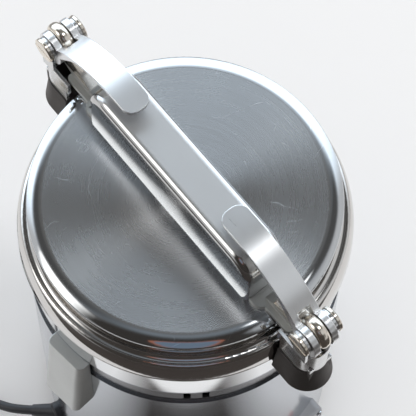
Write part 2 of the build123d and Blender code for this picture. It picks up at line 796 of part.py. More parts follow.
def make_knives():
    lower_length = 2 * (bowl_radius - lower_knife_gap)
    upper_length = 2 * (bowl_radius - upper_knife_gap)
    save("lower_knife", knife(lower_length, knife_z, knife_tip_rise / 6))
    save("upper_knife", turned(knife(upper_length, upper_knife_z, knife_tip_rise), 90.0))
    bore = journal_radius + fit_gap
    low = knife_z + knife_thickness
    save("knife_spacer", ring(bore, journal_radius + 5.0, low, upper_knife_z))
    top = upper_knife_z + knife_thickness
    save("knife_washer", ring(bore, journal_radius + 6.0, top, nut_z))
    nut = Pos(0, 0, nut_z) * extrude(RegularPolygon(nut_width / 2, 6, major_radius=False),
                                     nut_height)
    save("knife_nut", nut - ring(0, bore, nut_z - 1, nut_z + nut_height + 1))


# --- control panel ----------------------------------------------------------------------------
def make_panel():
    half = panel_width / 2
    box = block(-half, half, -panel_face, -body_radius + 20.0, panel_bottom, panel_top)
    box = fillet(box.edges().filter_by(Axis.Y), 6.0)
    box = fillet(box.faces().sort_by(Axis.Y)[0].outer_wire().edges(), 2.5)
    inner = half - panel_wall
    box -= block(-inner, inner, -panel_face + panel_wall, 0, panel_bottom + panel_wall,
                 panel_top - panel_wall)
    box -= ring(0, body_radius, 0, panel_top + 50)
    box -= rod(knob_spindle_radius + 1.0, (knob_x, 0, panel_mid_z), 200, (0, -1, 0))
    box -= block(switch_x - switch_width / 2, switch_x + switch_width / 2, -200, 0,
                 switch_low(), switch_low() + switch_height)
    box -= rod(breaker_radius + 2.0, (switch_x, 0, breaker_z()), 200, (0, -1, 0))
    save("control_panel", box)


def switch_low():
    """Height of the switch cut-out's lower edge."""
    return panel_mid_z - 1.0


def breaker_z():
    """Height of the breaker's centre."""
    return panel_bottom + 16.0


def make_controls():
    face = -panel_face
    back = face + panel_wall
    body = block(knob_x - timer_width / 2, knob_x + timer_width / 2, back, back + timer_depth,
                 panel_mid_z - timer_height / 2, panel_mid_z + timer_height / 2)
    body += rod(knob_spindle_radius + 0.9, (knob_x, back, panel_mid_z), panel_wall - 0.2,
                (0, -1, 0))
    body -= rod(knob_spindle_radius + running_gap, (knob_x, back + spindle_depth, panel_mid_z),
                beyond, (0, -1, 0))
    save("timer_body", body)

    gap = 0.4
    knob = rod(knob_radius, (knob_x, face - gap, panel_mid_z), knob_height, (0, -1, 0))
    knob = fillet(knob.faces().sort_by(Axis.Y)[0].edges(), 1.5)
    for i in range(knob_flutes):
        angle = math.radians(360.0 / knob_flutes * i)
        groove = rod(flute_radius, (knob_x + knob_radius * math.cos(angle), face - gap - 3.0,
                           panel_mid_z + knob_radius * math.sin(angle)), knob_height, (0, -1, 0))
        knob -= groove
    skirt = rod(knob_radius + skirt_overhang, (knob_x, face - gap, panel_mid_z),
                skirt_thickness, (0, -1, 0))
    knob += chamfer(skirt.faces().sort_by(Axis.Y)[0].edges(), 1.0)
    spindle = spindle_depth - 1.0
    knob += rod(knob_spindle_radius, (knob_x, back + spindle, panel_mid_z),
                spindle + panel_wall + gap + 0.5, (0, -1, 0))
    save("timer_knob", knob)

    half = switch_width / 2
    low = switch_low()
    high = low + switch_height
    frame = block(switch_x - half - 2, switch_x + half + 2, face - switch_rim, face,
                  low - 2, high + 2)
    frame += block(switch_x - half, switch_x + half, face, face + switch_depth, low, high)
    frame -= block(switch_x - half + switch_rim, switch_x + half - switch_rim, face - 5,
                   face + switch_depth - 10.0, low + switch_rim, high - switch_rim)
    centre_z = (low + high) / 2
    axle = (switch_x - half + 0.4, face + 2.5, centre_z)
    axle_length = switch_width - 0.8
    frame -= rod(trunnion_radius + pin_clearance, axle, axle_length, (1, 0, 0))
    save("switch_frame", frame)
    rocker = rod(high - centre_z - switch_rim - 0.7, (switch_x - half + 2.0, face + 2.5, centre_z),
                 switch_width - 4.0, (1, 0, 0))
    rocker -= rod(rocker_dish, (switch_x - half, face - rocker_dish - 2.4, centre_z),
                  switch_width + 4.0, (1, 0, 0))
    rocker -= block(switch_x - switch_width, switch_x + switch_width, face - switch_depth,
                    face - 3.4, low - 5, high + 5)
    rocker += rod(trunnion_radius, axle, axle_length, (1, 0, 0))
    rocker = rocker.rotate(Axis(axle, (1, 0, 0)), switch_tilt)
    save("rocker", rocker)

    z = breaker_z()
    bezel = rod(breaker_radius + bezel_width, (switch_x, face, z), 2.0, (0, -1, 0))
    bezel += rod(breaker_radius + 1.9, (switch_x, face + bezel_depth, z), bezel_depth, (0, -1, 0))
    bezel -= rod(breaker_radius + 0.2, (switch_x, face + 12.0, z), beyond, (0, -1, 0))
    save("breaker_body", bezel)
    button = rod(breaker_radius, (switch_x, face + button_depth, z),
                 button_depth + button_proud, (0, -1, 0))
    save("breaker_button", fillet(button.faces().sort_by(Axis.Y)[0].edges(), 1.0))


# --- mains lead -------------------------------------------------------------------------------
def heading(degrees, dip=0.0):
    """Unit vector at an angle about Z, dipping below the horizontal."""
    flat = math.cos(math.radians(dip))
    return Vector(flat * math.cos(math.radians(degrees)), flat * math.sin(math.radians(degrees)),
                  -math.sin(math.radians(dip)))


def relief_end():
    """Point where the lead leaves its strain relief."""
    wall_point = body_radius * heading(gland_angle) + Vector(0, 0, gland_z)
    return wall_point + relief_length * heading(relief_heading, relief_dip)


def coil_gate_point(angle, level, side):
    """End of a coil's straight tail: side is -1 where the lead comes in and 1 where it goes out."""
    outside = coil_radius + (coil_columns - 1) / 2 * cord_diameter
    centre = Vector(coil_centre[0], coil_centre[1], level)
    return centre + outside * heading(angle) + side * coil_gate * heading(angle - 90.0)


def make_gland():
    inner = body_radius - shell_wall
    nut = rod(gland_radius + 2.5, (inner - 4.0, 0, gland_z), 3.0, (1, 0, 0))
    neck = rod(gland_radius - 2.0 - fit_gap, (inner - 4.0, 0, gland_z), 8.0, (1, 0, 0))
    collar = rod(gland_radius, (body_radius - 2.0, 0, gland_z), gland_length + 2.0, (1, 0, 0))
    collar = chamfer(collar.faces().sort_by(Axis.X)[-1].edges(), 1.5)
    gland = turned(nut + neck + (collar - ring(0, body_radius, 0, 60.0)), gland_angle)
    axis = heading(relief_heading, relief_dip)
    span = relief_length + 1.5
    cone = Cone(gland_radius - 1.8, cord_diameter / 2 + 0.9, span)
    sleeve = Plane(origin=relief_end() - span / 2 * axis, z_dir=axis) * cone
    sleeve -= ring(0, body_radius, 0, 60.0)
    save("cord_gland", gland + sleeve)


def make_cord():
    radius = cord_diameter / 2
    start = relief_end()
    gate = coil_gate_point(coil_entry_angle, radius, -1)
    inward = heading(coil_entry_angle - 90.0)
    points = [start, start + cord_end_run * heading(relief_heading, relief_dip)]
    points += [Vector(*point) for point in cord_points]
    points += [gate - cord_end_run * inward, gate]
    runs = [b - a for a, b in zip(points, points[1:])]
    bends = []
    for before, after in zip(runs, runs[1:]):
        half_turn = math.radians(before.get_angle(after) / 2)
        bends.append(0.45 * min(before.length, after.length) / math.tan(half_turn))
    print("lead runs", [round(run.length, 1) for run in runs])
    print("lead bend radii", [round(bend, 1) for bend in bends])
    path = FilletPolyline(*points, radius=bends)
    lead = sweep(Plane(origin=start, z_dir=runs[0]) * Circle(radius), path=path)
    print("lead volume against section times length",
          round(lead.volume / (math.pi * radius ** 2 * path.length), 4))
    save("mains_cord", lead)


def make_coil():
    half = coil_columns * cord_diameter / 2
    radius = cord_diameter / 2
    top = coil_layers * cord_diameter
    coil = Pos(*coil_centre, 0) * ring(coil_radius - half, coil_radius + half + 0.3, 0, top)
    for angle, level, side in ((coil_entry_angle, radius, -1), (coil_exit_angle, top - radius, 1)):
        gate = coil_gate_point(angle, level, side)
        coil += rod(radius - 0.15, gate, coil_gate, -side * heading(angle - 90.0))
    save("cord_coil", coil)


def make_plug():
    """Moulded three-pin plug lying on its side at the end of the coil."""
    level = (coil_layers - 0.5) * cord_diameter
    gate = coil_gate_point(coil_exit_angle, level, 1)
    along = heading(coil_exit_angle - 90.0)
    place = Plane(origin=gate, x_dir=along, z_dir=(0, 0, 1)).location
    sleeve = Rot(0, 90, 0) * Cone(cord_diameter / 2 + 0.9, 7.5, plug_relief)
    body = Pos(plug_relief + plug_length / 2, 0, 0) * Box(plug_length, plug_width, 2 * level)
    body = fillet(body.edges().filter_by(Axis.X), 7.0)
    body = chamfer(body.faces().sort_by(Axis.X)[0].outer_wire().edges(), 4.0)
    save("mains_plug", place * (Pos(plug_relief / 2, 0, 0) * sleeve + body))
    pin = Pos(plug_relief + plug_length + plug_pin_length / 2, 0, 0)
    pin = pin * Box(plug_pin_length, plug_pin_width, plug_pin_thickness)
    pins = []
    for angle, offset in ((90.0, 0.0), (-30.0, 0.0), (210.0, 0.0)):
        pins.append(place * Rot(angle + offset, 0, 0) * Pos(0, 0, 7.5) * Rot(90, 0, 0) * pin)
    save("plug_pins", Compound(pins))


def make_all():
    os.makedirs("parts", exist_ok=True)
    make_feet()
    make_base_plate()
    make_housing()
    make_vent_ring()
    make_seat_plate()
    make_jacket()
    make_bowl()
    make_rim()
    make_grips()
    make_lid()
    make_bridge_bar()
    for end, turn in (("front", 0.0), ("rear", 180.0)):
        make_end_lug("end_lug_" + end, turn)
        make_lever("cam_lever_" + end, turn)
        make_pin("pivot_pin_" + end, turn)
        make_clasp("clasp_" + end, turn)
    make_motor()
    make_rotor()
    make_knives()
    make_panel()
    make_controls()
    make_gland()
    make_cord()
    make_coil()
    make_plug()


make_all()
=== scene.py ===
# %% [markdown]
# # An upright lab mill: finishes, lead and small details
# The mill arrives as a finished CAD frame, so nothing here moves or resizes it. This notebook gives
# each surface its finish, lays the mains lead on the bench, and adds what is too small for the CAD:
# the tie round the coiled lead, the printed marks and the screws on the control panel.

# %% Load the frame
import math
import bmesh
import bpy
from mathutils import Matrix, Vector


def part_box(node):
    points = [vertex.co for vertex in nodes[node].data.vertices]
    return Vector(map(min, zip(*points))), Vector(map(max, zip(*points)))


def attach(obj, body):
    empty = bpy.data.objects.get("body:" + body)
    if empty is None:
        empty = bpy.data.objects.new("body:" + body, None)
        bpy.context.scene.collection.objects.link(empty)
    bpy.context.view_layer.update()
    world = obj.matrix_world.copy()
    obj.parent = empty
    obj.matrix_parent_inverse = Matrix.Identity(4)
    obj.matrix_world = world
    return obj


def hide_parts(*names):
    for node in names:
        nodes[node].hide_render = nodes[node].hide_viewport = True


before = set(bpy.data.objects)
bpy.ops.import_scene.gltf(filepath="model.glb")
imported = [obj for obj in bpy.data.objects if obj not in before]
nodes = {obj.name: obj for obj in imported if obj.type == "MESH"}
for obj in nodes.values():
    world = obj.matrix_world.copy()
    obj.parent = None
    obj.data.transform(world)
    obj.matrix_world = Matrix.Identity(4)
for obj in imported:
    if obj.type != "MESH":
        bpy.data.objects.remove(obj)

scene = bpy.context.scene
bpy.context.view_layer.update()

# %% [markdown]
# ## Camera
# The view is steep, about 67 degrees above the bench, and comes from the front left. A camera's
# place and turn are easier to change as three angles and a distance from a point on the object than
# as a matrix, so the matrix is built from those. The point is the middle of the lid.

# %% Camera
CAMERA_TURN = math.radians(-38.009)
CAMERA_RISE = math.radians(66.723)
CAMERA_DISTANCE = 1.49999
AIM_YAW = math.radians(-0.577)
AIM_PITCH = math.radians(0.292)
AIM_ROLL = math.radians(-0.515)
LENS_MM = 194.65
SENSOR_MM = 36
FARTHEST_SEEN = 20

lid_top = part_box("lid_shell")[1].z
lid_centre = Vector((0, 0, lid_top))


def direction(azimuth, elevation):
    """Unit vector at an azimuth from +X and a height above the bench, in degrees."""
    a = math.radians(azimuth)
    e = math.radians(elevation)
    return Vector((math.cos(a) * math.cos(e), math.sin(a) * math.cos(e), math.sin(e)))


def add_camera():
    """Camera at its distance from the middle of the lid, with its aim corrected by three angles."""
    back = direction(math.degrees(CAMERA_TURN) - 90, math.degrees(CAMERA_RISE))
    right = Vector((math.cos(CAMERA_TURN), math.sin(CAMERA_TURN), 0))
    up = back.cross(right)
    axis = (back * math.cos(AIM_YAW) + right * math.sin(AIM_YAW)) * math.cos(AIM_PITCH)
    axis = (axis + up * math.sin(AIM_PITCH)).normalized()
    level = (right - axis * right.dot(axis)).normalized()
    upright = axis.cross(level)
    x_axis = level * math.cos(AIM_ROLL) + upright * math.sin(AIM_ROLL)
    y_axis = upright * math.cos(AIM_ROLL) - level * math.sin(AIM_ROLL)
    data = bpy.data.cameras.new("camera")
    data.lens = LENS_MM
    data.sensor_width = SENSOR_MM
    data.clip_end = FARTHEST_SEEN
    camera = bpy.data.objects.new("camera", data)
    camera.matrix_world = Matrix.Translation(lid_centre + back * CAMERA_DISTANCE) @ Matrix(
        (x_axis, y_axis, axis)).transposed().to_4x4()
    scene.collection.objects.link(camera)
    scene.camera = camera
    return camera


camera = add_camera()
print("camera at", [round(v, 4) for v in camera.location])

# %% [markdown]
# ## Mains lead
# A lead is a fixed length of something that bends, so it is one curve from its strain relief to its
# plug. The stretch on the bench has a few control points. The stored length is wound into a coil of
# two layers, and a loop works its turns out. The spline is a quadratic NURBS, which stays smooth
# without a bend at any control point. Its points carry the lead's radius, and the bevel is 1, so
# that Blender's box round the curve is as tight as the lead itself.

# %% Mains lead
CORD = 0.0075  # the lead's diameter
CORD_ROUTE = [  # from the strain relief down to the bench and on to the coil
    (-0.12292, 0.04026, 0.02331),
    (-0.13298, 0.05068, 0.01942),
    (-0.1399, 0.0634, 0.0141),
    (-0.1472, 0.0785, 0.0085),
    (-0.1555, 0.0941, 0.0051),
    (-0.16438, 0.10969, 0.00375),
    (-0.17232, 0.12241, 0.00375),
]
COIL_CENTRE = Vector((-0.149, 0.170, 0))
COIL_RADIUS = 0.0375
COIL_ENTRY = 212  # heading, in degrees, at which the lead joins the coil
COIL_EXIT = 120
COIL_TAIL = 0.028  # straight end, from the last turn to the plug
COIL_WHOLE_TURNS = 5
COIL_STEPS_PER_TURN = 16


def coil_points():
    """Turns of the coil: three on the bench, wound inwards, then two on top, wound outwards."""
    low = CORD / 2
    high = low + CORD
    inner = COIL_RADIUS - CORD
    outer = COIL_RADIUS + CORD
    last = COIL_WHOLE_TURNS + (COIL_ENTRY - COIL_EXIT) / 360
    keys = [  # turns done so far, radius, height
        (0, outer, low), (0.85, outer, low), (1, COIL_RADIUS, low), (1.85, COIL_RADIUS, low),
        (2, inner, low), (2.7, inner, low), (3, inner, high), (4, inner, high),
        (4.12, COIL_RADIUS, high), (5, COIL_RADIUS, high), (5.12, outer, high),
        (last, outer, high)]
    count = round(last * COIL_STEPS_PER_TURN)
    rounding = 1e-9
    points = []
    for i in range(count + 1):
        turn = last * i / count
        after = next(k for k in range(1, len(keys)) if turn <= keys[k][0] + rounding)
        start, end = keys[after - 1], keys[after]
        share = (turn - start[0]) / (end[0] - start[0])
        radius = start[1] + (end[1] - start[1]) * share
        height = start[2] + (end[2] - start[2]) * share
        flat = direction(COIL_ENTRY - 360 * turn, 0) * radius
        points.append(COIL_CENTRE + flat + Vector((0, 0, height)))
    points.append(points[-1] + direction(COIL_EXIT - 90, 0) * COIL_TAIL)
    return points


# %% [markdown]
# ## Tie round the coil
# A flat strap keeps the coil together, as a new appliance comes. Its outline is a rounded rectangle
# round the bundle, two turns high and three wide. A ring of edges takes that shape, is pulled out
# to the strap's width, and is then given its thickness. new_piece serves every mesh made here.

# %% Coil tie
TIE_AT = 140  # heading from the coil's centre, in degrees
TIE_WIDTH = 0.007
TIE_THICKNESS = 0.0006
TIE_CORNER = 0.0036
TIE_STEPS = 48


def put_in_order(parts, key):
    """Sort the vertices or faces of a bmesh by a key, and number them in that order."""
    rank = {part: number for number, part in enumerate(sorted(parts, key=key))}
    parts.sort(key=rank.get)
    parts.index_update()


def new_piece(name, bm):
    """Turn a bmesh into an object of the scene, and free it.

    Operators leave the parts in an order that changes from run to run, so they are sorted."""
    put_in_order(bm.verts, lambda vert: [round(c, 7) for c in vert.co])
    put_in_order(bm.faces, lambda face: sorted(vert.index for vert in face.verts))
    mesh = bpy.data.meshes.new(name)
    bm.to_mesh(mesh)
    bm.free()
    piece = bpy.data.objects.new(name, mesh)
    scene.collection.objects.link(piece)
    return piece


def add_coil_tie():
    """The strap; it goes round three turns side by side and two on top of each other."""
    half_width = 1.5 * CORD + TIE_THICKNESS / 2
    half_height = CORD - TIE_THICKNESS / 4
    middle = COIL_CENTRE + direction(TIE_AT, 0) * COIL_RADIUS + Vector((0, 0, CORD))
    outwards = direction(TIE_AT, 0)
    forwards = direction(TIE_AT + 90, 0)
    bm = bmesh.new()
    ring = bmesh.ops.create_circle(bm, radius=1, segments=TIE_STEPS)["verts"]
    for vert in ring:
        x, z = vert.co.x, vert.co.y
        x = math.copysign(half_width - TIE_CORNER, x) + TIE_CORNER * x
        z = math.copysign(half_height - TIE_CORNER, z) + TIE_CORNER * z
        vert.co = middle + outwards * x + Vector((0, 0, z)) - forwards * TIE_WIDTH / 2
    pulled = bmesh.ops.extrude_edge_only(bm, edges=bm.edges[:])["geom"]
    moved = [v for v in pulled if isinstance(v, bmesh.types.BMVert)]
    bmesh.ops.translate(bm, vec=forwards * TIE_WIDTH, verts=moved)
    bmesh.ops.recalc_face_normals(bm, faces=bm.faces)
    bmesh.ops.solidify(bm, geom=bm.faces[:], thickness=TIE_THICKNESS)
    bmesh.ops.recalc_face_normals(bm, faces=bm.faces)
    tie = new_piece("coil_tie", bm)
    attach(tie, "base")
    return tie


coil_tie = add_coil_tie()
tie_heights = [v.co.z for v in coil_tie.data.vertices]
print("tie from", round(min(tie_heights), 5), "to", round(max(tie_heights), 5))

# %% [markdown]
# ## The lead itself
# The curve follows the route and the coil with the cord's own thickness.

# %% Lay the lead
CURVE_STEPS = 6
RING_STEPS = 5


def add_cord():
    """The lead, which stands for the two CAD nodes of the cord."""
    route = [Vector(p) for p in CORD_ROUTE] + coil_points()
    curve = bpy.data.curves.new("mains_lead", "CURVE")
    curve.dimensions = "3D"
    curve.bevel_depth = 1
    curve.bevel_resolution = RING_STEPS
    curve.use_fill_caps = True
    curve.resolution_u = CURVE_STEPS
    spline = curve.splines.new("NURBS")
    spline.points.add(len(route) - 1)
    for point, place in zip(spline.points, route):
        point.co = (*place, 1)
        point.radius = CORD / 2
    spline.order_u = 3
    spline.use_endpoint_u = True
    cord = bpy.data.objects.new("mains_lead", curve)
    scene.collection.objects.link(cord)
    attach(cord, "base")
    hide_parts("mains_cord", "cord_coil")
    return cord


cord = add_cord()

# %% [markdown]
# ## Studio
# Polished steel shows the room more than itself, so the room matters more than the lamps. The world
# is a pale room with a bright rear wall, a darker ceiling with three dark patches, a dark side
# behind the camera with a window in it, and two soft boxes. Each of these is a round patch of
# colour about one heading, laid over those before it. Only reflections see that room. The camera
# and rough surfaces see an even pale one, which keeps colours plain.

# %% Studio
PALE = 0.89
LOW_WALLS = (0.72, 0.735, 0.75)
HIGH_WALLS = (0.40, 0.42, 0.45)
WALLS_FROM, WALLS_TO = 30, 70  # degrees above the bench between which the walls darken
ROOM_LOBES = [  # name, azimuth, elevation, full within, gone beyond (degrees), colour
    ("rear_wall", 60, 14, 44, 68, (1.9, 2.18, 2.45)),
    ("ceiling", 52, 84, 20, 36, (0.25, 0.285, 0.32)),
    ("dark_left", 112, 60, 10, 26, (0.10, 0.10, 0.10)),
    ("dark_right", 352, 58, 8, 22, (0.10, 0.10, 0.10)),
    ("dark_patch", 54, 68, 6, 18, (0.19, 0.187, 0.182)),
    ("box_over", -29, 73, 4, 9, (4.4, 4.5, 4.6)),
    ("box_left", 157, 40, 11, 20, (2.9, 2.9, 2.85)),
    ("room_side", 232, 30, 42, 62, (0.055, 0.05, 0.046)),
    ("side_pale", 292, 46, 9, 19, (0.66, 0.69, 0.72)),
    ("warm_edge", 232, 50, 13.5, 15, (0.50, 0.20, 0.13)),
    ("window", 232, 50, 11, 13.5, (0.20, 0.27, 0.36)),
]


def new_node(tree, kind, **settings):
    """A node of one kind with its settings, which aren't sockets."""
    node = tree.nodes.new(kind)
    for name, value in settings.items():
        setattr(node, name, value)
    return node


def split(tree, vector):
    """The X, Y and Z of a vector, each as a socket."""
    node = new_node(tree, "ShaderNodeSeparateXYZ")
    tree.links.new(vector, node.inputs[0])
    return node.outputs


def build_world():
    """Room of colours by heading: each patch of ROOM_LOBES is laid over those before it."""
    world = bpy.data.worlds.new("studio")
    world.use_nodes = True
    tree = world.node_tree
    tree.nodes.clear()
    link = tree.links.new
    coords = new_node(tree, "ShaderNodeTexCoord")
    rise = new_node(tree, "ShaderNodeMapRange", interpolation_type="SMOOTHSTEP")
    rise.inputs["From Min"].default_value = math.sin(math.radians(WALLS_FROM))
    rise.inputs["From Max"].default_value = math.sin(math.radians(WALLS_TO))
    link(split(tree, coords.outputs["Generated"])["Z"], rise.inputs["Value"])
    colour = new_node(tree, "ShaderNodeMix", data_type="RGBA")
    colour.inputs["A"].default_value = (*LOW_WALLS, 1)
    colour.inputs["B"].default_value = (*HIGH_WALLS, 1)
    link(rise.outputs[0], colour.inputs["Factor"])
    for name, azimuth, elevation, full, gone, shade in ROOM_LOBES:
        facing = new_node(tree, "ShaderNodeVectorMath", operation="DOT_PRODUCT", label=name)
        facing.inputs[1].default_value = direction(azimuth, elevation)
        link(coords.outputs["Generated"], facing.inputs[0])
        inside = new_node(tree, "ShaderNodeMapRange", interpolation_type="SMOOTHSTEP")
        inside.inputs["From Min"].default_value = math.cos(math.radians(gone))
        inside.inputs["From Max"].default_value = math.cos(math.radians(full))
        link(facing.outputs["Value"], inside.inputs["Value"])
        mix = new_node(tree, "ShaderNodeMix", data_type="RGBA")
        mix.inputs["B"].default_value = (*shade, 1)
        link(inside.outputs[0], mix.inputs["Factor"])
        link(colour.outputs["Result"], mix.inputs["A"])
        colour = mix
    rays = new_node(tree, "ShaderNodeLightPath")
    pick = new_node(tree, "ShaderNodeMix", data_type="RGBA")
    pick.inputs["A"].default_value = (PALE, PALE, PALE, 1)
    link(rays.outputs["Is Glossy Ray"], pick.inputs["Factor"])
    link(colour.outputs["Result"], pick.inputs["B"])
    background = new_node(tree, "ShaderNodeBackground")
    output = new_node(tree, "ShaderNodeOutputWorld")
    link(pick.outputs["Result"], background.inputs["Color"])
    link(background.outputs[0], output.inputs[0])
    scene.world = world


scene.view_settings.view_transform = "Standard"
build_world()
print("room patches", [row[0] for row in ROOM_LOBES])

# %% [markdown]
# ## Lamp and bench
# One soft lamp stands where the box over the mill is, and gives the soft shadows their side. The
# bench is a plain sheet, far wider than the view.

# %% Lamp and bench
BENCH_HALF_WIDTH = 6


def add_area_lamp(name, azimuth, elevation, distance, size, power):
    """Soft lamp aimed at the lid. Polished metal doesn't show it, because the room has its box."""
    data = bpy.data.lights.new(name, "AREA")
    data.energy = power
    data.size = size
    lamp = bpy.data.objects.new(name, data)
    lamp.location = lid_centre + direction(azimuth, elevation) * distance
    lamp.rotation_euler = direction(azimuth, elevation).to_track_quat("Z", "Y").to_euler()
    lamp.visible_glossy = False
    scene.collection.objects.link(lamp)
    return lamp


def add_floor():
    bm = bmesh.new()
    bmesh.ops.create_grid(bm, x_segments=1, y_segments=1, size=BENCH_HALF_WIDTH)
    floor = new_piece("bench", bm)
    return floor


lamp = add_area_lamp("lamp_over", azimuth=-27, elevation=74, distance=2.2, size=0.5, power=9)
floor = add_floor()
print("lamp", lamp.name, "and stage", floor.name)

# %% [markdown]
# ## Node groups for shared effects
# What several materials share is a node group with named inputs and outputs. A group gives only
# masks, values, coordinates and normals. The shader itself stays in each material.

# %% Helpers for groups
def new_group(name, inputs, outputs):
    """Empty shader group with float or vector sockets; returns it with its two end nodes."""
    group = bpy.data.node_groups.new(name, "ShaderNodeTree")
    for socket, kind, value in inputs:
        made = group.interface.new_socket(socket, in_out="INPUT", socket_type=kind)
        if value is not None:
            made.default_value = value
    for socket, kind in outputs:
        group.interface.new_socket(socket, in_out="OUTPUT", socket_type=kind)
    return group, new_node(group, "NodeGroupInput"), new_node(group, "NodeGroupOutput")


FLOAT = "NodeSocketFloat"
VECTOR = "NodeSocketVector"


def math_node(tree, operation, a, b=None):
    """Result of one sum, whose terms are numbers or sockets."""
    node = new_node(tree, "ShaderNodeMath", operation=operation)
    for socket, value in zip(node.inputs, (a, b)):
        if value is None:
            continue
        if isinstance(value, (int, float)):
            socket.default_value = value
        else:
            tree.links.new(value, socket)
    return node.outputs[0]


# %% [markdown]
# ## Grain of brushed metal
# Brushed metal is fine lines drawn along one direction. The lines come from one noise texture whose
# coordinates are stretched: across the grain it changes fast and along it slowly. The group takes
# ready-made coordinates, so that the same one serves a turned disc and a flat strip.

# %% Grain groups
CLOUDY_SCALE = 28


def make_turned_coords():
    """Object position as (radius, angle, height), for what is turned about the mill's axis."""
    group, start, end = new_group("turned_coords", [("Vector", VECTOR, None)],
                                  [("Polar", VECTOR)])
    x, y, z = split(group, start.outputs["Vector"])
    square = math_node(group, "ADD", math_node(group, "MULTIPLY", x, x),
                       math_node(group, "MULTIPLY", y, y))
    joined = new_node(group, "ShaderNodeCombineXYZ")
    group.links.new(math_node(group, "SQRT", square), joined.inputs[0])
    group.links.new(math_node(group, "ARCTAN2", y, x), joined.inputs[1])
    group.links.new(z, joined.inputs[2])
    group.links.new(joined.outputs[0], end.inputs["Polar"])
    return group


def make_brushed():
    """Fine parallel lines: Lines is 0 to 1 and Cloudy is a slow variation for the roughness."""
    group, start, end = new_group(
        "brushed", [("Vector", VECTOR, None), ("Place", VECTOR, None),
                    ("Stretch", VECTOR, (2000, 20, 20))],
        [("Lines", FLOAT), ("Cloudy", FLOAT)])
    scale = new_node(group, "ShaderNodeVectorMath", operation="MULTIPLY")
    group.links.new(start.outputs["Vector"], scale.inputs[0])
    group.links.new(start.outputs["Stretch"], scale.inputs[1])
    fine = new_node(group, "ShaderNodeTexNoise")
    fine.inputs["Scale"].default_value = 1
    fine.inputs["Detail"].default_value = 1
    group.links.new(scale.outputs[0], fine.inputs["Vector"])
    cloudy = new_node(group, "ShaderNodeTexNoise")
    cloudy.inputs["Scale"].default_value = CLOUDY_SCALE
    cloudy.inputs["Detail"].default_value = 3
    group.links.new(start.outputs["Place"], cloudy.inputs["Vector"])
    group.links.new(fine.outputs[0], end.inputs["Lines"])
    group.links.new(cloudy.outputs[0], end.inputs["Cloudy"])
    return group


turned_coords = make_turned_coords()
brushed = make_brushed()
print("grain groups", turned_coords.name, brushed.name)

# %% [markdown]
# ## Scratches and corners
# A scratch is a thin band where a warped noise is near its middle value, and it's kept only where a
# second noise is high. Corners come from the bevel node: where its eased normal leaves the face's
# own normal, there is an edge.

# %% Scratch and edge groups
SCRATCH_WARP = 1.2
SCRATCH_BAND = 0.004  # how far from the middle value the noise may be
PATCH_SCALE = 55
PATCH_FROM, PATCH_TO = 0.56, 0.66
EDGE_FROM, EDGE_TO = 0.99, 0.80  # cosine between the two normals
EDGE_SAMPLES = 6


def make_scratches():
    """Sparse short scratches: Mask is as high as Amount on a scratch, and 0 elsewhere."""
    group, start, end = new_group(
        "scratches", [("Vector", VECTOR, None), ("Scale", FLOAT, 40), ("Amount", FLOAT, 0.5)],
        [("Mask", FLOAT)])
    warped = new_node(group, "ShaderNodeTexNoise")
    warped.inputs["Detail"].default_value = 1
    warped.inputs["Distortion"].default_value = SCRATCH_WARP
    group.links.new(start.outputs["Vector"], warped.inputs["Vector"])
    group.links.new(start.outputs["Scale"], warped.inputs["Scale"])
    off_centre = math_node(group, "ABSOLUTE", math_node(group, "SUBTRACT", warped.outputs[0], 0.5))
    line = new_node(group, "ShaderNodeMapRange")
    line.inputs["From Min"].default_value = SCRATCH_BAND
    line.inputs["From Max"].default_value = 0.0
    group.links.new(off_centre, line.inputs["Value"])
    patches = new_node(group, "ShaderNodeTexNoise")
    patches.inputs["Scale"].default_value = PATCH_SCALE
    group.links.new(start.outputs["Vector"], patches.inputs["Vector"])
    keep = new_node(group, "ShaderNodeMapRange")
    keep.inputs["From Min"].default_value = PATCH_FROM
    keep.inputs["From Max"].default_value = PATCH_TO
    group.links.new(patches.outputs[0], keep.inputs["Value"])
    kept = math_node(group, "MULTIPLY", line.outputs[0], keep.outputs[0])
    group.links.new(math_node(group, "MULTIPLY", kept, start.outputs["Amount"]),
                    end.inputs["Mask"])
    return group


def make_edges():
    """Where the surface bends sharply: Edge is 1 on a corner, and Rounded is its eased normal."""
    group, start, end = new_group("edges", [("Radius", FLOAT, 0.0006)],
                                  [("Edge", FLOAT), ("Rounded", VECTOR)])
    eased = new_node(group, "ShaderNodeBevel", samples=EDGE_SAMPLES)
    group.links.new(start.outputs["Radius"], eased.inputs["Radius"])
    face = new_node(group, "ShaderNodeNewGeometry")
    same = new_node(group, "ShaderNodeVectorMath", operation="DOT_PRODUCT")
    group.links.new(eased.outputs[0], same.inputs[0])
    group.links.new(face.outputs["Normal"], same.inputs[1])
    mask = new_node(group, "ShaderNodeMapRange")
    mask.inputs["From Min"].default_value = EDGE_FROM
    mask.inputs["From Max"].default_value = EDGE_TO
    group.links.new(same.outputs["Value"], mask.inputs["Value"])
    group.links.new(mask.outputs[0], end.inputs["Edge"])
    group.links.new(eased.outputs[0], end.inputs["Rounded"])
    return group


scratches = make_scratches()
edges = make_edges()
print("mark groups", scratches.name, edges.name)

# %% [markdown]
# ## Materials
# Each finish starts from one Principled shader. Metals differ in their roughness and in the way
# their grain runs, and plastics and rubber in their fine bump. A helper makes the shader and a
# second one places a group, so that each material's function only says what is special about it.

# %% Material helpers
def new_material(name, colour, roughness, metallic=0.0, **sockets):
    """A material with its shader, and the object coordinates that its textures read."""
    material = bpy.data.materials.new(name)
    material.use_nodes = True
    shader = material.node_tree.nodes["Principled BSDF"]
    shader.inputs["Base Color"].default_value = (*colour, 1)
    shader.inputs["Roughness"].default_value = roughness
    shader.inputs["Metallic"].default_value = metallic
    for socket, value in sockets.items():
        shader.inputs[socket.replace("_", " ")].default_value = value
    coords = new_node(material.node_tree, "ShaderNodeTexCoord")
    return material, shader, coords.outputs["Object"]


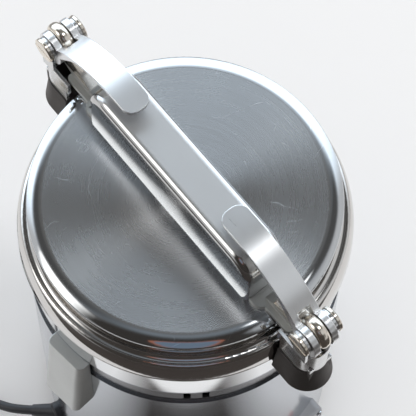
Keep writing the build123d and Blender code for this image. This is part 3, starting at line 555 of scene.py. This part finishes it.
def place_group(tree, group, vector, **values):
    """A shared group in a material, reading one vector, with its other inputs as numbers."""
    node = new_node(tree, "ShaderNodeGroup", node_tree=group)
    tree.links.new(vector, node.inputs["Vector"])
    for socket, value in values.items():
        node.inputs[socket].default_value = value
    return node


def map_range(tree, value, low, high, start=0.0, end=1.0):
    """From low to high while the value goes from start to end, and no further either way."""
    node = new_node(tree, "ShaderNodeMapRange")
    node.inputs["From Min"].default_value = start
    node.inputs["From Max"].default_value = end
    node.inputs["To Min"].default_value = low
    node.inputs["To Max"].default_value = high
    tree.links.new(value, node.inputs["Value"])
    return node.outputs[0]


def add_bump(tree, shader, height, strength, distance, normal=None):
    """Small relief on top of the surface, or on top of a normal that is already changed."""
    bump = new_node(tree, "ShaderNodeBump")
    bump.inputs["Strength"].default_value = strength
    bump.inputs["Distance"].default_value = distance
    tree.links.new(height, bump.inputs["Height"])
    if normal is not None:
        tree.links.new(normal, bump.inputs["Normal"])
    tree.links.new(bump.outputs[0], shader.inputs["Normal"])


def ease_edges(tree, radius):
    """The edge group, for corners eased over a radius in metres."""
    node = new_node(tree, "ShaderNodeGroup", node_tree=edges)
    node.inputs["Radius"].default_value = radius
    return node


def noise(tree, vector, scale, detail):
    node = new_node(tree, "ShaderNodeTexNoise")
    node.inputs["Scale"].default_value = scale
    node.inputs["Detail"].default_value = detail
    tree.links.new(vector, node.inputs["Vector"])
    return node.outputs[0]


def tint(tree, factor, under, over):
    """One colour turning into another as the factor goes from 0 to 1."""
    node = new_node(tree, "ShaderNodeMix", data_type="RGBA")
    tree.links.new(factor, node.inputs["Factor"])
    for socket, value in (("A", under), ("B", over)):
        if isinstance(value, tuple):
            node.inputs[socket].default_value = (*value, 1)
        else:
            tree.links.new(value, node.inputs[socket])
    return node.outputs["Result"]


def scaled(colour, share):
    """A colour made darker or lighter, and never above white."""
    return tuple(min(1, c * share) for c in colour)


def blend_colour(tree, shader, factor, first, second):
    """Base colour that turns from the first to the second with the factor."""
    tree.links.new(tint(tree, factor, first, second), shader.inputs["Base Color"])


# %% [markdown]
# ## Turned metal
# The lid and the housing are sheet turned and brushed in circles. So their grain is noise read in
# polar coordinates, and anisotropy draws their highlights out. Scratches are paler and rougher than
# the sheet and stand in its bump. What the polisher's wheel reached is nearly a mirror.

# %% Turned metal
TURNED_STRETCH = (900, 1.6, 900)  # fine across the radius and the height, long round the axis
TURNED_GRAIN = 0.03  # strength of the bump
FINE_HEIGHT = 0.00001  # metres
GRAIN_SWING = 0.02  # what the lines add to or take from the roughness
CLOUD_SWING = 0.03
MARK_SCALE = 26
MARK_ROUGHER = 0.3
MARK_PALER = 1.7
POLISH_EDGE = 0.001
POLISHED_SHARE = 0.3  # of the roughness, where the sheet is polished


def turned_metal(name, colour, rough, spread, marks, polished_from=None):
    """Sheet brushed in circles about the mill's axis, and polished beyond a radius if given."""
    material, shader, place = new_material(name, colour, rough, 1.0, Anisotropic=spread,
                                           Anisotropic_Rotation=0.25)
    tree = material.node_tree
    around = new_node(tree, "ShaderNodeTangent", direction_type="RADIAL", axis="Z")
    tree.links.new(around.outputs[0], shader.inputs["Tangent"])
    polar = place_group(tree, turned_coords, place).outputs["Polar"]
    grain = place_group(tree, brushed, polar, Stretch=TURNED_STRETCH)
    tree.links.new(place, grain.inputs["Place"])
    lines, cloudy = grain.outputs["Lines"], grain.outputs["Cloudy"]
    mark = place_group(tree, scratches, place, Scale=MARK_SCALE, Amount=marks).outputs["Mask"]
    level = math_node(tree, "ADD", map_range(tree, lines, -GRAIN_SWING, GRAIN_SWING),
                      map_range(tree, cloudy, rough - CLOUD_SWING, rough + CLOUD_SWING))
    level = math_node(tree, "ADD", level, math_node(tree, "MULTIPLY", mark, MARK_ROUGHER))
    height = math_node(tree, "SUBTRACT", lines, mark)
    if polished_from:
        satin = map_range(tree, split(tree, polar)["X"], 1, 0, polished_from - POLISH_EDGE,
                          polished_from + POLISH_EDGE)
        level = math_node(tree, "MULTIPLY", level, map_range(tree, satin, POLISHED_SHARE, 1))
        height = math_node(tree, "MULTIPLY", height, satin)
    tree.links.new(level, shader.inputs["Roughness"])
    shown = tint(tree, lines, scaled(colour, 0.96), scaled(colour, 1.04))
    blend_colour(tree, shader, mark, shown, scaled(colour, MARK_PALER))
    add_bump(tree, shader, height, TURNED_GRAIN, FINE_HEIGHT)
    return material


# %% [markdown]
# ## Ground and blasted metal
# The levers and the knives are ground along their length. The bridge is bead-blasted on its flat
# top and polished below, and its polished flank carries a painted reflection in bands. Real pressed
# parts have eased corners that catch the light, and the shared edge group gives them without a
# single new face; the paler colour on those corners is a painted highlight.

# %% Ground and blasted metal
STRIP_EDGE = 0.0007  # metres, how wide the eased corners are
STRIP_GRAIN = 0.15
STRIP_LINES = 0.05  # what the lines add to or take from the roughness
STRIP_CLOUDS = 0.04
EDGE_SMOOTHER = 0.4  # of the roughness, on a worn corner
PAINTED_EDGE_HIGHLIGHT = 1.3


def strip_metal(name, colour, rough, stretch, marks):
    """Flat-ground metal with its grain one way, such as the levers; eased edges, painted paler as a
    highlight.
    """
    material, shader, place = new_material(name, colour, rough, 1.0)
    tree = material.node_tree
    grain = place_group(tree, brushed, place, Stretch=stretch)
    tree.links.new(place, grain.inputs["Place"])
    corner = ease_edges(tree, STRIP_EDGE)
    lines, cloudy = grain.outputs["Lines"], grain.outputs["Cloudy"]
    level = math_node(tree, "ADD", map_range(tree, lines, -STRIP_LINES, STRIP_LINES),
                      map_range(tree, cloudy, rough - STRIP_CLOUDS, rough + STRIP_CLOUDS))
    worn = map_range(tree, corner.outputs["Edge"], 1, EDGE_SMOOTHER)
    tree.links.new(math_node(tree, "MULTIPLY", level, worn), shader.inputs["Roughness"])
    # The corners' paler colour is a painted highlight; their lower roughness is wear.
    blend_colour(tree, shader, corner.outputs["Edge"], colour, scaled(colour, PAINTED_EDGE_HIGHLIGHT))
    mark = place_group(tree, scratches, place, Scale=40, Amount=marks).outputs["Mask"]
    height = math_node(tree, "SUBTRACT", lines, mark)
    add_bump(tree, shader, height, STRIP_GRAIN, FINE_HEIGHT, corner.outputs["Rounded"])
    return material


FLAT_FROM, FLAT_TO = 0.90, 0.985  # how upright the normal is, from the flank to the flat top
# Heights above the lid of the flank's painted reflection: pale below the first, darker above the
# second.
FLANK_PALE_REFLECTION_TO, FLANK_DARK_REFLECTION_FROM = 0.016, 0.028  # heights above the lid
FLANK_PAINTED_REFLECTION = (0.82, 0.83, 0.84)
SPECKLE_SCALE = 1100
BRIDGE_IN_MIRROR = (0.4, 0.4, 0.41)  # darker, or its flank would leave a streak on the lid


def bridge_metal(name, colour, rough_top, rough_side):
    """Blasted top, polished sides with a painted reflection in bands. Other metal shows it darker.
    """
    material, shader, place = new_material(name, colour, rough_top, 1.0)
    tree = material.node_tree
    facing = new_node(tree, "ShaderNodeNewGeometry").outputs["Normal"]
    top = map_range(tree, split(tree, facing)["Z"], 0, 1, FLAT_FROM, FLAT_TO)
    speckle = noise(tree, place, SPECKLE_SCALE, 2)
    level = math_node(tree, "MULTIPLY", map_range(tree, speckle, 0.8, 1.2),
                      map_range(tree, top, rough_side, rough_top))
    tree.links.new(level, shader.inputs["Roughness"])
    # The flank's colour is a painted reflection: pale low down near the lid and darker higher up.
    pale = map_range(tree, split(tree, place)["Z"], 1, 0, lid_top + FLANK_PALE_REFLECTION_TO,
                     lid_top + FLANK_DARK_REFLECTION_FROM)
    sides = tint(tree, pale, scaled(colour, 0.8), FLANK_PAINTED_REFLECTION)
    shown = tint(tree, top, sides, colour)
    rays = new_node(tree, "ShaderNodeLightPath")
    blend_colour(tree, shader, rays.outputs["Is Glossy Ray"], shown, BRIDGE_IN_MIRROR)
    mark = place_group(tree, scratches, place, Scale=45, Amount=0.5).outputs["Mask"]
    height = math_node(tree, "SUBTRACT", math_node(tree, "MULTIPLY", speckle, top), mark)
    add_bump(tree, shader, height, 0.12, 0.00002)
    return material


# %% [markdown]
# ## Polished and cast metal
# A polished piece may be darker and rougher below a height, which is how the clasps' matt cups are
# made. Cast, blasted and stacked pieces are rough all over.

# %% Polished and cast metal
LOW_ROUGHER = 0.42  # what the part under the height adds to its roughness
LOW_BLUR = 0.0005
SMEAR_SCALE = 45


def polished_metal(name, colour, rough, waves=0.06, below=None, low_colour=None):
    """Buffed metal: nearly a mirror, with the wheel's faint smears; low_colour under a height."""
    material, shader, place = new_material(name, colour, rough, 1.0)
    tree = material.node_tree
    smear = noise(tree, place, SMEAR_SCALE, 4)
    level = map_range(tree, smear, rough * 0.6, rough * 1.5, 0.3, 0.7)
    shown = tint(tree, smear, scaled(colour, 0.92), scaled(colour, 1.06))
    if below:
        low = map_range(tree, split(tree, place)["Z"], 1, 0, below - LOW_BLUR, below + LOW_BLUR)
        shown = tint(tree, low, shown, low_colour)
        level = math_node(tree, "ADD", level, map_range(tree, low, 0, LOW_ROUGHER))
    tree.links.new(shown, shader.inputs["Base Color"])
    tree.links.new(level, shader.inputs["Roughness"])
    corner = ease_edges(tree, 0.0006)
    add_bump(tree, shader, noise(tree, place, 70, 2), waves, 0.0002, corner.outputs["Rounded"])
    return material


def cast_metal(name, colour, rough, bump_scale):
    """Blasted or cast metal: rough all over, with a little grain to break up the light."""
    material, shader, place = new_material(name, colour, rough, 1.0)
    tree = material.node_tree
    grain = noise(tree, place, bump_scale, 5)
    tree.links.new(map_range(tree, grain, rough - 0.1, rough + 0.1), shader.inputs["Roughness"])
    blend_colour(tree, shader, noise(tree, place, 35, 3), scaled(colour, 0.9),
                 scaled(colour, 1.08))
    corner = ease_edges(tree, 0.0009)
    add_bump(tree, shader, grain, 0.3, 0.0001, corner.outputs["Rounded"])
    return material


# %% [markdown]
# ## Plastics, rubber and the list of finishes
# Plastic and rubber aren't metals, so their colour carries the look: it drifts a little from place
# to place, and a fine moulded grain breaks up the shine. All the finishes are then made in one
# table, which makes it easy to compare their colours and roughness.

# %% Plastics and the table of finishes
def moulded(name, colour, rough, grain_scale, grain_height, **sockets):
    """Plastic, rubber or paint with a fine moulded or sprayed grain."""
    material, shader, place = new_material(name, colour, rough, 0.0, **sockets)
    tree = material.node_tree
    grain = noise(tree, place, grain_scale, 3)
    blend_colour(tree, shader, noise(tree, place, 30, 3), scaled(colour, 0.85),
                 scaled(colour, 1.2))
    tree.links.new(map_range(tree, grain, rough - 0.06, rough + 0.06), shader.inputs["Roughness"])
    add_bump(tree, shader, grain, 0.4, grain_height)
    return material


finish = {
    "lid": turned_metal("lid_satin", (0.56, 0.57, 0.58), 0.27, 0.94, 0.9, polished_from=0.0965),
    "body": turned_metal("body_satin", (0.50, 0.525, 0.56), 0.13, 0.4, 0.15),
    "jacket": turned_metal("jacket_bright", (0.92, 0.93, 0.94), 0.06, 0.3, 0.1),
    # The vent ring's dark grey is partly its own darker finish and partly painted shade for its
    # recess.
    "vents": turned_metal("vent_finish_and_painted_shade", (0.30, 0.30, 0.31), 0.25, 0.3, 0.15),
    "bridge": bridge_metal("bridge_blasted", (0.68, 0.67, 0.66), 0.42, 0.09),
    "polished": polished_metal("polished_steel", (0.70, 0.70, 0.71), 0.08),
    "clasp": polished_metal("clasp_pressing", (0.66, 0.66, 0.66), 0.20, 0.12,
                            below=0.3230, low_colour=(0.11, 0.10, 0.095)),
    "warm": polished_metal("warm_polish", (0.78, 0.71, 0.62), 0.15, 0.2,
                           below=0.355, low_colour=(0.50, 0.50, 0.48)),
    "rim": polished_metal("polished_rim", (0.66, 0.64, 0.62), 0.07),
    "lever": strip_metal("lever_satin", (0.86, 0.86, 0.86), 0.31, (1600, 25, 25), 0.3),
    "knife": strip_metal("knife_ground", (0.60, 0.61, 0.63), 0.24, (30, 1800, 30), 0.3),
    "grip": cast_metal("grip_sheet", (0.60, 0.61, 0.60), 0.42, 900),
    "cast": cast_metal("cast_alloy", (0.55, 0.56, 0.57), 0.5, 500),
    "core": cast_metal("core_stack", (0.25, 0.25, 0.26), 0.55, 1500),
    "copper": cast_metal("copper_wire", (0.75, 0.38, 0.22), 0.35, 1200),
    "brass": polished_metal("brass", (0.80, 0.63, 0.33), 0.18),
    "zinc": polished_metal("zinc", (0.62, 0.64, 0.66), 0.25),
    "rubber": moulded("black_rubber", (0.014, 0.014, 0.017), 0.45, 1600, 0.00004),
    "silicone": moulded("white_silicone", (0.80, 0.80, 0.77), 0.45, 900, 0.00003),
    "plastic": moulded("black_plastic", (0.04, 0.04, 0.045), 0.42, 1800, 0.00003),
    "red": moulded("red_plastic", (0.50, 0.03, 0.025), 0.28, 1500, 0.00001),
    "paint": moulded("panel_paint", (0.26, 0.27, 0.29), 0.38, 1400, 0.00003, Coat_Weight=0.2),
    "print": moulded("white_print", (0.78, 0.78, 0.76), 0.5, 1400, 0.00001),
    "carbon": moulded("carbon", (0.05, 0.05, 0.055), 0.6, 1500, 0.00004),
}
print("materials", len(finish))

# %% [markdown]
# ## Which finish each node has
# A table from finish to nodes keeps the choice in one place. What is left over is printed, so that
# no node stays bare by mistake.

# %% Which finish each node has
NODE_FINISH = {
    "lid": ["lid_shell"],
    "body": ["motor_housing", "base_plate", "seat_plate"],
    "jacket": ["bowl_jacket"],
    "vents": ["vent_ring"],
    "bridge": ["bridge_bar"],
    "polished": ["bowl", "lid_liner", "rotor_shaft", "knife_spacer", "knife_washer", "knife_nut",
                 "upper_bearing", "lower_bearing"],
    "clasp": ["clasp_front", "clasp_rear"],
    "warm": ["end_lug_front", "end_lug_rear", "pivot_pin_front", "pivot_pin_rear"],
    "rim": ["rolled_rim"],
    "lever": ["cam_lever_front", "cam_lever_rear"],
    "knife": ["lower_knife", "upper_knife"],
    "grip": ["grip_left", "grip_right"],
    "cast": ["upper_bracket", "lower_bracket"],
    "core": ["stator_core", "armature"],
    "copper": ["stator_windings", "commutator"],
    "brass": ["brush_holders", "plug_pins"],
    "zinc": ["foot_screws", "through_bolts"],
    "rubber": ["rubber_feet", "cord_gland", "mains_cord", "cord_coil", "mains_plug"],
    "silicone": ["lid_gasket", "shaft_seal"],
    "plastic": ["timer_body", "switch_frame", "breaker_body", "timer_knob", "cooling_fan"],
    "red": ["rocker", "breaker_button"],
    "paint": ["control_panel"],
    "carbon": ["carbon_brushes"],
}


def set_material(piece, material):
    piece.data.materials.clear()
    piece.data.materials.append(material)


for key, names in NODE_FINISH.items():
    for name in names:
        set_material(nodes[name], finish[key])
set_material(cord, finish["rubber"])
set_material(coil_tie, finish["plastic"])
bare = sorted(set(nodes) - {n for names in NODE_FINISH.values() for n in names})
print("nodes with no finish", bare)

# %% [markdown]
# ## Printed marks on the control panel
# A timer needs a scale: a short line and a figure for each minute, printed on the panel round the
# knob. Printing is only a thin film, so each line is a flat face given a tenth of a millimetre of
# thickness, and the figures are text turned into a mesh.

# %% Helpers for printed marks
PRINT_THICKNESS = 0.00012

panel_low, panel_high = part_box("control_panel")
knob_low, knob_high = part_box("timer_knob")
switch_low, switch_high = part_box("switch_frame")
knob_x = (knob_low.x + knob_high.x) / 2
knob_z = (knob_low.z + knob_high.z) / 2
FACE_FRONT = Matrix.Rotation(math.radians(90), 4, "X")


def link_mesh(name, bm, body, material):
    """Write a bmesh to a new piece that rides on a body and takes the given material."""
    bmesh.ops.recalc_face_normals(bm, faces=bm.faces)
    piece = new_piece(name, bm)
    set_material(piece, material)
    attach(piece, body)
    return piece


def add_line(bm, half_width, half_length, place):
    """A printed line, made flat and then given its thickness towards the viewer."""
    made = bmesh.ops.create_grid(bm, x_segments=1, y_segments=1, size=1)
    verts = made["verts"]
    bmesh.ops.scale(bm, vec=(half_width, half_length, 1), verts=verts)
    faces = list({f for v in verts for f in v.link_faces})
    grown = bmesh.ops.extrude_face_region(bm, geom=faces)
    top = [v for v in grown["geom"] if isinstance(v, bmesh.types.BMVert)]
    bmesh.ops.translate(bm, vec=(0, 0, PRINT_THICKNESS), verts=top)
    bmesh.ops.transform(bm, matrix=place, verts=verts + top)


def add_text(bm, words, size, place):
    """Words made a mesh, set in their place and added to the bmesh."""
    curve = bpy.data.curves.new("words", "FONT")
    curve.body = words
    curve.size = size
    curve.align_x = "CENTER"
    curve.align_y = "CENTER"
    curve.extrude = PRINT_THICKNESS / 2
    holder = bpy.data.objects.new("words", curve)
    mesh = bpy.data.meshes.new_from_object(holder)
    mesh.transform(place)
    bm.from_mesh(mesh)
    bpy.data.meshes.remove(mesh)
    bpy.data.objects.remove(holder)
    bpy.data.curves.remove(curve)


def on_panel(x, z, degrees=0.0):
    """Matrix that sets a flat mark on the panel's front and turns it clockwise for the viewer."""
    turn = Matrix.Rotation(-math.radians(degrees), 4, "Z")
    return Matrix.Translation((x, panel_low.y, z)) @ FACE_FRONT @ turn


# %% [markdown]
# ## Scale, words and pointer
# The scale and the switch's words ride on the base. The knob carries its own pointer, which has to
# turn with it, so that one rides on the knob's body.

# %% Scale, words and pointer
FIGURES = 6  # from 0 to 5 minutes
STEP_DEGREES = 60
SCALE_RADIUS = 0.0191
FIGURE_RADIUS = 0.0219
FIGURE_SIZE = 0.0030
TICK_HALF = (0.00025, 0.0008)  # half the width and half the length
LABEL_SIZE = 0.0028
LABEL_OUT = 0.0042  # from the switch to the middle of its words
LABEL_IN = 0.004  # from the switch's upper and lower edge
POINTER_HALF = (0.0007, 0.0042)
POINTER_OUT = 0.0085  # from the knob's axis to the middle of its pointer


def add_panel_print():
    """The timer's lines and figures, and the two words beside the switch, as one piece."""
    bm = bmesh.new()
    for minute in range(FIGURES):
        degrees = minute * STEP_DEGREES
        out = Vector((math.sin(math.radians(degrees)), math.cos(math.radians(degrees))))
        tick = out * SCALE_RADIUS
        add_line(bm, *TICK_HALF, on_panel(knob_x + tick.x, knob_z + tick.y, degrees))
        figure = out * FIGURE_RADIUS
        add_text(bm, str(minute), FIGURE_SIZE, on_panel(knob_x + figure.x, knob_z + figure.y))
    label_x = switch_low.x - LABEL_OUT
    add_text(bm, "ON", LABEL_SIZE, on_panel(label_x, switch_high.z - LABEL_IN))
    add_text(bm, "OFF", LABEL_SIZE, on_panel(label_x, switch_low.z + LABEL_IN))
    return link_mesh("panel_print", bm, "base", finish["print"])


def add_pointer():
    """The line on the knob's face that shows where it stands."""
    bm = bmesh.new()
    place = Matrix.Translation((knob_x, knob_low.y, knob_z + POINTER_OUT)) @ FACE_FRONT
    add_line(bm, *POINTER_HALF, place)
    return link_mesh("knob_pointer", bm, "timer_knob", finish["print"])


panel_print = add_panel_print()
pointer = add_pointer()
print("print faces", len(panel_print.data.polygons), "pointer", len(pointer.data.polygons))

# %% [markdown]
# ## Panel screws
# Four small button-head screws hold the panel. Each starts as a disc that is extruded and rounded
# at its edge, and its socket is an inset pushed inwards. A screw is shaped on its own, set in its
# corner, and then added to the one mesh that holds all four.

# %% Panel screws
SCREW_RADIUS = 0.0024
SCREW_HEIGHT = 0.0014
SOCKET_DEPTH = 0.0009
SCREW_INSET = 0.0042
SCREW_SIDES = 24
ROUNDED_SHARE = 0.45  # of the head's height
SOCKET_RING = 0.3  # of the head's radius, left round the socket


def shape_screw():
    """One screw head, standing on the XY plane."""
    bm = bmesh.new()
    made = bmesh.ops.create_circle(bm, cap_ends=True, radius=SCREW_RADIUS,
                                   segments=SCREW_SIDES)
    disc = list({f for v in made["verts"] for f in v.link_faces})
    head = bmesh.ops.extrude_face_region(bm, geom=disc)["geom"]
    top = [v for v in head if isinstance(v, bmesh.types.BMVert)]
    rim = [e for e in head if isinstance(e, bmesh.types.BMEdge)]
    bmesh.ops.translate(bm, vec=(0, 0, SCREW_HEIGHT), verts=top)
    bmesh.ops.bevel(bm, geom=rim, offset=SCREW_HEIGHT * ROUNDED_SHARE, affect="EDGES",
                    segments=3, profile=0.5, material=-1)
    cap = max(bm.faces, key=lambda f: f.calc_center_median().z)
    bmesh.ops.inset_region(bm, faces=[cap], thickness=SCREW_RADIUS * SOCKET_RING)
    bmesh.ops.translate(bm, vec=(0, 0, -SOCKET_DEPTH), verts=list(cap.verts))
    mesh = bpy.data.meshes.new("screw")
    bm.to_mesh(mesh)
    bm.free()
    return mesh


def add_screws():
    """The four screws in the panel's corners, as one piece."""
    bm = bmesh.new()
    for x in (panel_low.x + SCREW_INSET, panel_high.x - SCREW_INSET):
        for z in (panel_low.z + SCREW_INSET, panel_high.z - SCREW_INSET):
            mesh = shape_screw()
            mesh.transform(on_panel(x, z))
            bm.from_mesh(mesh)
            bpy.data.meshes.remove(mesh)
    return link_mesh("panel_screws", bm, "base", finish["zinc"])


screws = add_screws()
print("screw faces", len(screws.data.polygons))

# %% [markdown]
# ## Bench
# The bench is pale and matt. Steel would mirror all of it, so what the steel shows of the bench has
# painted shade: the mill's own shadow near it on the viewer's side, more shade farther towards the
# viewer and far behind, and a painted pale strip between. Light Path tells reflections from direct
# sight, so that the painted shade is only in what the steel shows. Bands across the heading FRONT
# hold it: each is a pair of distances between which it comes in or goes out.

# %% Bench material
BENCH = (0.905, 0.905, 0.91)
# Colours of the painted shade and of the painted pale strip that the steel shows of the bench.
BENCH_SHADE = (0.06, 0.05, 0.045)
BENCH_PAINTED_PALE_STRIP = (0.98, 0.98, 0.98)
FRONT = 232  # heading of the viewer, in degrees
NEAR_IN, NEAR_OUT = (0.02, 0.08), (0.191, 0.197)
NEAR_SIDES = (0.06, 0.13)  # how far the near shade reaches to either side
STRIP_IN = (0.189, 0.195)
FAR_IN = (0.213, 0.220)
BEHIND_OUT = (-0.62, -0.44)
BEHIND_SHARE = 0.75
bench, bench_shader, bench_place = new_material("bench", BENCH, 0.55)


def along(tree, azimuth):
    """Distance from the axis along one heading, in metres."""
    node = new_node(tree, "ShaderNodeVectorMath", operation="DOT_PRODUCT")
    node.inputs[1].default_value = direction(azimuth, 0)
    tree.links.new(bench_place, node.inputs[0])
    return node.outputs["Value"]


def shade_bench_reflections():
    """Painted shade near the viewer but for a painted pale strip, dark again far behind, and pale
    between.
    """
    tree = bench.node_tree
    towards = along(tree, FRONT)
    sideways = math_node(tree, "ABSOLUTE", along(tree, FRONT - 90))
    # Painted shade near the viewer, farther out and far behind, and a painted pale strip, seen only
    # in reflections.
    near = math_node(tree, "MULTIPLY", map_range(tree, towards, 1, 0, *NEAR_OUT),
                     map_range(tree, towards, 0, 1, *NEAR_IN))
    near = math_node(tree, "MULTIPLY", near, map_range(tree, sideways, 1, 0, *NEAR_SIDES))
    far = map_range(tree, towards, 0, 1, *FAR_IN)
    behind = map_range(tree, towards, BEHIND_SHARE, 0, *BEHIND_OUT)
    strip = map_range(tree, towards, 0, 1, *STRIP_IN)
    shown = tint(tree, strip, BENCH, BENCH_PAINTED_PALE_STRIP)
    shown = tint(tree, math_node(tree, "ADD", near, far), shown, BENCH_SHADE)
    shown = tint(tree, behind, shown, BENCH_SHADE)
    rays = new_node(tree, "ShaderNodeLightPath")
    blend_colour(tree, bench_shader, rays.outputs["Is Glossy Ray"], BENCH, shown)


shade_bench_reflections()
set_material(floor, bench)
print("bench shader nodes", len(bench.node_tree.nodes))
